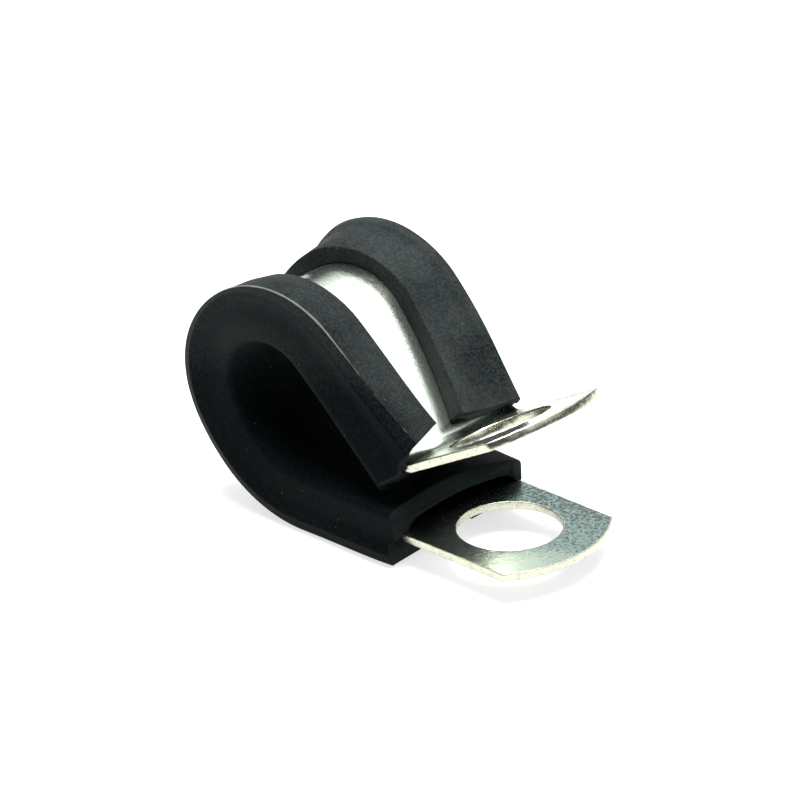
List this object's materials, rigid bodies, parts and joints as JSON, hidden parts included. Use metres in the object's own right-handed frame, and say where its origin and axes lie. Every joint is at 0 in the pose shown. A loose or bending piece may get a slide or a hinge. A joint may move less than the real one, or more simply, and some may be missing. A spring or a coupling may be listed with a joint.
{
  "type": "rubber-lined p clip",
  "caption": "Sprung steel P clip: a bent band with two drilled tabs, its loop lined with black rubber that hooks over both edges.",
  "frame": {"origin": "centre of the lower bolt hole, halfway through the steel", "axes": "+X along the lower tab to its tip, +Y along the axis of the loop, +Z square to the lower tab on the side of the loop"},
  "size_m": [0.0348, 0.0148, 0.0199],
  "materials": {
    "zinc_steel": "bright zinc plate over mild steel strip, finely spangled, with sheared edges",
    "black_rubber": "matt black extruded rubber with a fine grain, a little dust and a moulding line along the near rim"
  },
  "bodies": {
    "root": {"band": "zinc_steel", "liner": "black_rubber"}
  },
  "joints": []
}
